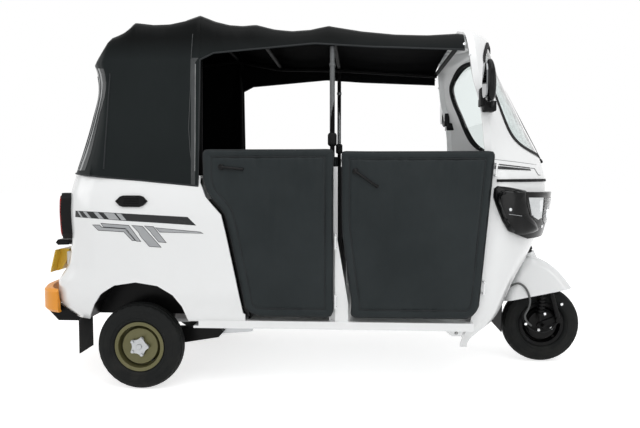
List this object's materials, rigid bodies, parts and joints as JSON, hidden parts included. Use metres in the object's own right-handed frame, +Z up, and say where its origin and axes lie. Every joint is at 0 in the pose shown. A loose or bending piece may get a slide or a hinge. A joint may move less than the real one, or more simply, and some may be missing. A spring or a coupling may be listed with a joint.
{
  "type": "auto rickshaw",
  "caption": "Three-wheeled passenger rickshaw with a soft top, padded half doors, a raked steering fork under a rounded cowl, a rear bench and a lifting tail lid.",
  "frame": {"origin": "on the ground under the middle of the overall length, on the vehicle's centre plane", "axes": "+X forward, +Y to the vehicle's left, +Z up"},
  "size_m": [2.743, 1.554, 1.7726],
  "materials": {
    "white_paint": "gloss",
    "wheel_paint": "satin",
    "orange_plastic": "satin",
    "black_vinyl": "satin",
    "canopy_vinyl": "satin",
    "black_plastic": "gloss",
    "matte_black": "matte",
    "black_steel": "satin",
    "bare_steel": "satin",
    "cast_alloy": "cast",
    "black_rubber": "matte",
    "tyre_rubber": "matte",
    "screen_glass": "clear",
    "lamp_glass": "clear",
    "red_lens": "gloss",
    "yellow_plate": "gloss"
  },
  "bodies": {
    "chassis": {"arm_pivot_tube": "bare_steel", "bench_backrest": "black_vinyl", "bench_box": "black_steel", "bench_cushion": "black_vinyl", "bumper_brackets": "black_steel", "canopy": "canopy_vinyl", "canopy_frame": "black_steel", "centre_posts": "white_paint", "cowl_shell": "white_paint", "dashboard": "matte_black", "door_hinges": "black_steel", "drive_shafts": "black_steel", "driver_backrest": "black_vinyl", "driver_cushion": "black_vinyl", "driver_seat_box": "black_steel", "engine_block": "cast_alloy", "floor_pan": "white_paint", "front_wheel_house": "black_steel", "headlamp_housings": "black_plastic", "headlamp_lenses": "lamp_glass", "lid_hinges": "black_steel", "mirrors": "black_plastic", "number_plate": "yellow_plate", "partition": "matte_black", "plate_lamp": "matte_black", "quarter_panel_left": "white_paint", "quarter_panel_right": "white_paint", "rear_bumper": "orange_plastic", "rear_mud_flaps": "black_rubber", "rear_panel": "white_paint", "rear_springs": "black_steel", "rear_subframe": "black_steel", "side_vents": "matte_black", "steering_head": "black_steel", "tail_lamp_housings": "matte_black", "tail_lamp_lenses": "red_lens", "trailing_arms": "black_steel", "wheel_arch_liners": "black_steel", "windscreen_gasket": "black_rubber", "windscreen_glass": "screen_glass", "windscreen_wiper": "black_steel"},
    "steering": {"steering_fork": "black_steel", "front_links": "black_steel", "front_springs": "black_steel", "front_fender": "white_paint", "front_mud_flap": "black_rubber", "handlebar": "black_steel", "brake_hose": "black_rubber"},
    "front_wheel": {"front_tyre": "tyre_rubber", "front_rim": "wheel_paint"},
    "rear_right_wheel": {"rear_right_tyre": "tyre_rubber", "rear_right_rim": "wheel_paint"},
    "rear_left_wheel": {"rear_left_tyre": "tyre_rubber", "rear_left_rim": "wheel_paint"},
    "front_right_door": {"front_door_right": "black_vinyl"},
    "front_left_door": {"front_door_left": "black_vinyl"},
    "rear_right_door": {"rear_door_right": "black_vinyl"},
    "rear_left_door": {"rear_door_left": "black_vinyl"},
    "tail_lid": {"rear_lid": "white_paint"}
  },
  "joints": [
    {"name": "steering_turn", "type": "hinge", "parent": "chassis", "child": "steering", "pos_m": [1.3675, 0, 0], "axis": [-0.4067, 0, 0.9135], "range_deg": [-40, 40]},
    {"name": "front_wheel_spin", "type": "hinge", "parent": "steering", "child": "front_wheel", "pos_m": [1.1685, 0, 0.203], "axis": [0, 1, 0], "continuous": true},
    {"name": "rear_right_wheel_spin", "type": "hinge", "parent": "chassis", "child": "rear_right_wheel", "pos_m": [-0.8315, -0.575, 0.203], "axis": [0, 1, 0], "continuous": true},
    {"name": "rear_left_wheel_spin", "type": "hinge", "parent": "chassis", "child": "rear_left_wheel", "pos_m": [-0.8315, 0.575, 0.203], "axis": [0, 1, 0], "continuous": true},
    {"name": "front_right_door_swing", "type": "hinge", "parent": "chassis", "child": "front_right_door", "pos_m": [0.7385, -0.64, 0.39946], "axis": [0.0854, 0, 0.9963], "range_deg": [0, 75]},
    {"name": "front_left_door_swing", "type": "hinge", "parent": "chassis", "child": "front_left_door", "pos_m": [0.7385, 0.64, 0.39946], "axis": [-0.0854, 0, -0.9963], "range_deg": [0, 75]},
    {"name": "rear_right_door_swing", "type": "hinge", "parent": "chassis", "child": "rear_right_door", "pos_m": [0.0835, -0.64, 0.345], "axis": [0, 0, 1], "range_deg": [0, 85]},
    {"name": "rear_left_door_swing", "type": "hinge", "parent": "chassis", "child": "rear_left_door", "pos_m": [0.0835, 0.64, 0.345], "axis": [0, 0, -1], "range_deg": [0, 85]},
    {"name": "tail_lid_lift", "type": "hinge", "parent": "chassis", "child": "tail_lid", "pos_m": [-1.2189, 0, 0.9468], "axis": [0, 1, 0], "range_deg": [0, 75]}
  ]
}
